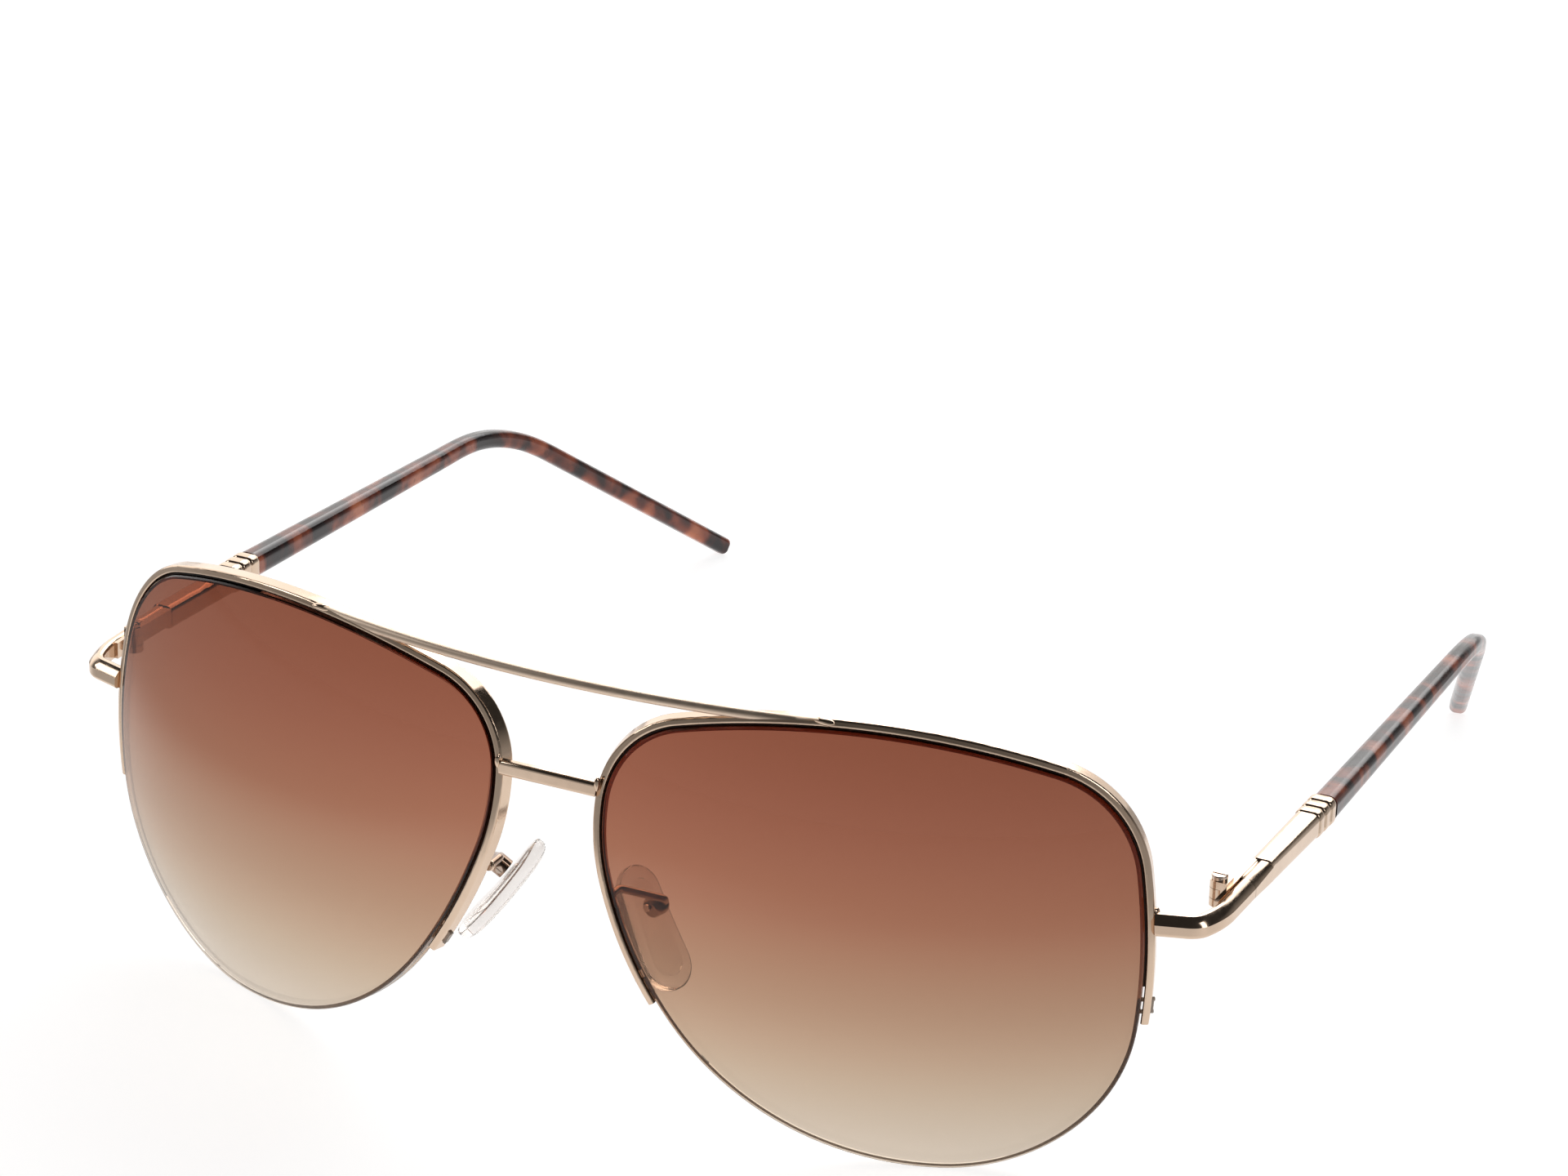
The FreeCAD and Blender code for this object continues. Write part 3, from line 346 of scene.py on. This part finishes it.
# -------------------------------------------------------------------- own pieces
def add_piece(name, points, faces, material, body):
    """Smooth mesh piece that rides on a body."""
    mesh = bpy.data.meshes.new(name)
    mesh.from_pydata([tuple(point) for point in points], [], faces)
    mesh.materials.append(material)
    mesh.polygons.foreach_set("use_smooth", [True] * len(mesh.polygons))
    bm = bmesh.new()
    bm.from_mesh(mesh)
    bmesh.ops.recalc_face_normals(bm, faces=bm.faces)
    bm.to_mesh(mesh)
    bm.free()
    piece = bpy.data.objects.new(name, mesh)
    bpy.context.scene.collection.objects.link(piece)
    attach(piece, body)
    return piece


def ring_faces(rings, around):
    """Quads between rings of points, closed at each end by a fan to a pole."""
    faces = []
    for ring in range(rings - 1):
        for i in range(around):
            j = (i + 1) % around
            low, high = ring * around, (ring + 1) * around
            faces.append((low + i, low + j, high + j, high + i))
    first_pole, last_pole = rings * around, rings * around + 1
    last = (rings - 1) * around
    for i in range(around):
        j = (i + 1) % around
        faces.append((first_pole, j, i))
        faces.append((last_pole, last + i, last + j))
    return faces


def power(value, exponent):
    """Signed power, for superellipses."""
    return math.copysign(abs(value) ** exponent, value)


# Nose pad: where it hangs, its directions and its sizes in millimetres.
PAD_PIVOT = Vector((9.9, -67.33, 24.35))
PAD_DOWN = Vector((0.55, -0.27, -0.79)).normalized()
PAD_NOSE = Vector((-0.78, 0.2, -0.6))
PAD_TOP, PAD_LENGTH = 5.2, 14.6
PAD_TOP_RADIUS, PAD_LOW_RADIUS = 3.0, 3.5
PAD_THICK = 2.8
PAD_MIDDLE = 1.95
PAD_DISH = 0.72
PAD_BOW = 0.35
PAD_SQUARENESS = 0.8
PAD_THINNING = 0.55
PAD_RINGS, PAD_AROUND = 34, 40


def pad_half_width(y):
    """Half width of the teardrop at a height above the pivot."""
    top = PAD_TOP - PAD_TOP_RADIUS
    low = PAD_TOP - PAD_LENGTH + PAD_LOW_RADIUS
    sine = (PAD_LOW_RADIUS - PAD_TOP_RADIUS) / (top - low)
    upper, lower = top + PAD_TOP_RADIUS * sine, low + PAD_LOW_RADIUS * sine
    if y >= upper:
        return math.sqrt(max(PAD_TOP_RADIUS**2 - (y - top) ** 2, 0.0))
    if y <= lower:
        return math.sqrt(max(PAD_LOW_RADIUS**2 - (y - low) ** 2, 0.0))
    cosine = math.sqrt(1.0 - sine**2)
    share = (y - lower) / (upper - lower)
    return cosine * (PAD_LOW_RADIUS + (PAD_TOP_RADIUS - PAD_LOW_RADIUS) * share)


def pad_point(x, y, z, sign):
    """Point of a pad: across it, up its length and towards the nose."""
    nose = (PAD_NOSE - PAD_DOWN * PAD_NOSE.dot(PAD_DOWN)).normalized()
    across = (-PAD_DOWN).cross(nose)
    spot = PAD_PIVOT + across * x - PAD_DOWN * y + nose * z
    return Vector((sign * spot.x, spot.y, spot.z)) * MM


def make_nose_pads(silicone):
    """Soft teardrop pads, crowned towards the nose and slightly dished at the back."""
    for side, sign in SIDES:
        points = []
        for ring in range(PAD_RINGS):
            turn = math.pi * (ring + 0.6) / (PAD_RINGS + 0.2)
            y = PAD_TOP - PAD_LENGTH * (1.0 - math.cos(turn)) / 2.0
            half = pad_half_width(y)
            thick = PAD_THICK / 2.0 * (half / PAD_LOW_RADIUS) ** PAD_THINNING
            middle = PAD_MIDDLE - PAD_BOW * math.cos(turn) ** 2
            for step in range(PAD_AROUND):
                angle = 2.0 * math.pi * step / PAD_AROUND
                x = half * power(math.cos(angle), PAD_SQUARENESS)
                z = thick * power(math.sin(angle), PAD_SQUARENESS)
                z *= PAD_DISH if z < 0.0 else 1.0
                points.append(pad_point(x, y, middle + z, sign))
        middle = PAD_MIDDLE - PAD_BOW
        points.append(pad_point(0.0, PAD_TOP, middle, sign))
        points.append(pad_point(0.0, PAD_TOP - PAD_LENGTH, middle, sign))
        faces = ring_faces(PAD_RINGS, PAD_AROUND)
        pad = add_piece("soft_pad_" + side, points, faces, silicone, "nose_pad_" + side)
        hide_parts("nose_pad_" + side)


# Depth of the end face of a node, in metres.
END_SKIN = 0.15 * MM


def end_of(node, direction):
    """Middle of the face of a CAD node that lies farthest along a direction, in metres."""
    heading = Vector(direction)
    points = [vertex.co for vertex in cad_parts[node].data.vertices]
    farthest = max(point.dot(heading) for point in points)
    near = [point for point in points if point.dot(heading) > farthest - END_SKIN]
    return sum(near, Vector()) / len(near)


# Solder beads: how square their profile is, how uneven they are, and their rings of points.
BEAD_SQUARENESS = 0.8
BEAD_SWELL = 0.06
BEAD_RINGS, BEAD_AROUND = 14, 24
# Half sizes in millimetres along X, Y and Z.
BRIDGE_BEAD = (0.32, 0.5, 0.82)
BROW_BEAD = (1.3, 0.5, 0.4)
ENDPIECE_BEAD = (0.42, 0.8, 1.22)
HINGE_BEAD = (0.34, 2.6, 0.2)
PAD_ARM_BEAD = (0.62, 0.4, 0.62)
# Shifts and the place of the hinge weld, in millimetres.
BROW_DROP = Vector((0.0, 0.0, -0.3))
PAD_ARM_FOOT = Vector((0.0, 0.5, 0.0))
HINGE_WELD = (70.22, -43.2, 32.68)


def solder(name, centre, radii, body, gold):
    """Flattened bead of solder, uneven round its middle."""
    points = []
    for ring in range(BEAD_RINGS):
        polar = math.pi * (ring + 0.5) / BEAD_RINGS
        girth = power(math.sin(polar), BEAD_SQUARENESS)
        for step in range(BEAD_AROUND):
            angle = 2.0 * math.pi * step / BEAD_AROUND
            swell = 1.0 + BEAD_SWELL * math.sin(3.0 * angle + 2.0 * polar)
            across = radii[0] * girth * math.cos(angle) * swell
            along = radii[1] * girth * math.sin(angle) * swell
            bead = Vector((across, along, radii[2] * math.cos(polar)))
            points.append(centre + bead * MM)
    points.append(centre + Vector((0.0, 0.0, radii[2] * MM)))
    points.append(centre - Vector((0.0, 0.0, radii[2] * MM)))
    piece = add_piece(name, points, ring_faces(BEAD_RINGS, BEAD_AROUND), gold, body)


def make_solder(gold):
    """Solder where the bars and the pad arms meet the rims, and at the hinge plates."""
    for side, sign in SIDES:
        outward = (sign, 0.0, 0.0)
        bridge = end_of("bridge", outward)
        solder("solder_bridge_" + side, bridge, BRIDGE_BEAD, "front", gold)
        brow = end_of("brow_bar", outward) + BROW_DROP * MM
        solder("solder_brow_" + side, brow, BROW_BEAD, "front", gold)
        root = end_of("endpiece_" + side, (-sign, 0.0, 0.0))
        solder("solder_endpiece_" + side, root, ENDPIECE_BEAD, "front", gold)
        weld = Vector((sign * HINGE_WELD[0], *HINGE_WELD[1:])) * MM
        solder("solder_hinge_" + side, weld, HINGE_BEAD, "temple_" + side, gold)
        foot = end_of("pad_arm_" + side, (0.0, -1.0, 0.0)) + PAD_ARM_FOOT * MM
        solder("solder_pad_arm_" + side, foot, PAD_ARM_BEAD, "front", gold)


# ------------------------------------------------------------------------- studio
# Where the painted glow of the paper fades: (direction on the floor, first and last distance in
# mm).
FLOOR_FADES = (
    ((0.43, -0.9, 0.0), 92.0, 220.0),
    ((-0.833, -0.553, 0.0), 106.0, 180.0),
    ((0.947, 0.322, 0.0), 96.0, 150.0),
)
# Painted glow of the paper round the glasses and past the fades; it reaches this far, in metres.
FLOOR_GLOW = 0.84
EDGE_GLOW = 0.2
FLOOR_REACH = 2.4
FLOOR_GAP = 0.05 * MM


def floor_material():
    """Seamless white paper with a soft painted glow, which fades in front and at the sides."""
    material, tree, shader = new_material("floor_white")
    grain = noise(tree, place(tree), 12.0, 2.0)
    tone = ramp(tree, grain, [(0.3, (0.34, 0.34, 0.34)), (0.7, (0.35, 0.35, 0.35))])
    tree.links.new(tone, shader.inputs["Base Color"])
    shader.inputs["Roughness"].default_value = 0.9
    shader.inputs["Specular IOR Level"].default_value = 0.1
    # Painted glow: emission on the paper, dimmed by each fade.
    light = FLOOR_GLOW - EDGE_GLOW
    for direction, near, far in FLOOR_FADES:
        reach = along_direction(tree, place(tree), direction)
        share = spread(tree, reach, 1.0, 0.0, near * MM, far * MM, smooth=True)
        faded = add_node(tree, "ShaderNodeMath", {0: light, 1: share}, operation="MULTIPLY")
        light = faded.outputs[0]
    glow = add_node(tree, "ShaderNodeMath", {0: light, 1: EDGE_GLOW}, operation="ADD").outputs[0]
    shader.inputs["Emission Color"].default_value = (1.0, 1.0, 1.0, 1.0)
    tree.links.new(glow, shader.inputs["Emission Strength"])
    return material


def make_floor():
    """Wide pale floor just under the glasses."""
    mesh = bpy.data.meshes.new("floor")
    quarters = ((-1, -1), (1, -1), (1, 1), (-1, 1))
    corners = [(FLOOR_REACH * x, FLOOR_REACH * y, 0) for x, y in quarters]
    mesh.from_pydata(corners, [], [(0, 1, 2, 3)])
    floor = bpy.data.objects.new("floor", mesh)
    floor.location.z = CAD_BOX[0][2] - FLOOR_GAP
    mesh.materials.append(floor_material())
    bpy.context.scene.collection.objects.link(floor)


# Surroundings: the way to the backdrop, how strongly each part shines, how far round the
# backdrop fades in, and the heights (0 level, 1 overhead) where it and the front turn dark.
BACKDROP_WAY = (-0.6, 0.8, 0.0)
BACKDROP_LIGHT = 1.5
FRONT_LIGHT = 0.36
CEILING_LIGHT = 0.03
BACKDROP_EDGE = (0.5, 0.85)
BACKDROP_TOP = (0.75, 0.93)
FRONT_TOP = (0.0, 0.35)


def make_world():
    """White backdrop behind the glasses, grey low front and a dark ceiling."""
    world = bpy.data.worlds.new("studio")
    bpy.context.scene.world = world
    world.use_nodes = True
    tree = world.node_tree
    background = tree.nodes["Background"]
    where = add_node(tree, "ShaderNodeTexCoord")
    parts = add_node(tree, "ShaderNodeSeparateXYZ", {"Vector": where.outputs["Generated"]})
    up = parts.outputs["Z"]
    facing = along_direction(tree, where.outputs["Generated"], BACKDROP_WAY)
    behind = spread(tree, facing, 0.0, 1.0, *BACKDROP_EDGE, smooth=True)
    backdrop = spread(tree, up, BACKDROP_LIGHT, CEILING_LIGHT, *BACKDROP_TOP)
    front = spread(tree, up, FRONT_LIGHT, CEILING_LIGHT, *FRONT_TOP)
    both = add_node(tree, "ShaderNodeMix", {0: behind, 2: front, 3: backdrop})
    background.inputs["Color"].default_value = (1.0, 0.985, 0.965, 1.0)
    tree.links.new(both.outputs[0], background.inputs["Strength"])


def softbox(name, place_at, aim, width, height, watts):
    """Rectangular soft light."""
    data = bpy.data.lights.new(name, "AREA")
    data.shape = "RECTANGLE"
    data.size = width
    data.size_y = height
    data.energy = watts
    light = bpy.data.objects.new(name, data)
    bpy.context.scene.collection.objects.link(light)
    light.location = place_at
    light.rotation_euler = (Vector(aim) - Vector(place_at)).to_track_quat("-Z", "Y").to_euler()


def make_lights():
    """Large softbox high behind the glasses, and a weak fill from each side."""
    softbox("back_box", (-0.05, 0.85, 0.8), (0.0, 0.0, 0.0), 1.1, 0.8, 6.5)
    softbox("left_box", (-0.9, -0.35, 0.6), (0.0, 0.0, 0.02), 0.4, 0.4, 1.6)
    softbox("right_box", (0.95, -0.1, 0.7), (0.0, 0.0, 0.02), 0.3, 0.5, 1.6)


# Camera of the photograph: turned by these angles round the glasses, moved sideways and
# up in its own plane from the point between the two lenses, at the height of their centres.
CAMERA_AZIMUTH = 25.54
CAMERA_ELEVATION = 23.43
CAMERA_ROLL = 1.55
CAMERA_ASIDE = 25.77 * MM
CAMERA_RISE = 33.94 * MM
CAMERA_DISTANCE = 613.0 * MM
CAMERA_LENS = 127.54


def make_camera():
    """Camera at the viewing angle of the photograph."""
    azimuth, elevation, roll = (
        math.radians(a) for a in (CAMERA_AZIMUTH, CAMERA_ELEVATION, CAMERA_ROLL)
    )
    back = Vector(
        (
            math.sin(azimuth) * math.cos(elevation),
            -math.cos(azimuth) * math.cos(elevation),
            math.sin(elevation),
        )
    )
    level = Vector((math.cos(azimuth), math.sin(azimuth), 0.0))
    upright = back.cross(level)
    right = level * math.cos(roll) + upright * math.sin(roll)
    up = upright * math.cos(roll) - level * math.sin(roll)
    datum = Vector((0.0, -74.13 * MM, 25.95 * MM))
    data = bpy.data.cameras.new("camera")
    data.sensor_width = 36.0
    data.lens = CAMERA_LENS
    data.clip_start = 0.01
    camera = bpy.data.objects.new("camera", data)
    bpy.context.scene.collection.objects.link(camera)
    turn = Matrix((right, up, back)).transposed().to_4x4()
    spot = datum + back * CAMERA_DISTANCE + right * CAMERA_ASIDE + up * CAMERA_RISE
    camera.matrix_world = Matrix.Translation(spot) @ turn
    bpy.context.scene.camera = camera


make_camera()
plating, pad_silicone = paint_nodes()
make_nose_pads(pad_silicone)
make_solder(plating)
make_floor()
make_world()
make_lights()
bpy.context.scene.view_settings.view_transform = "Standard"
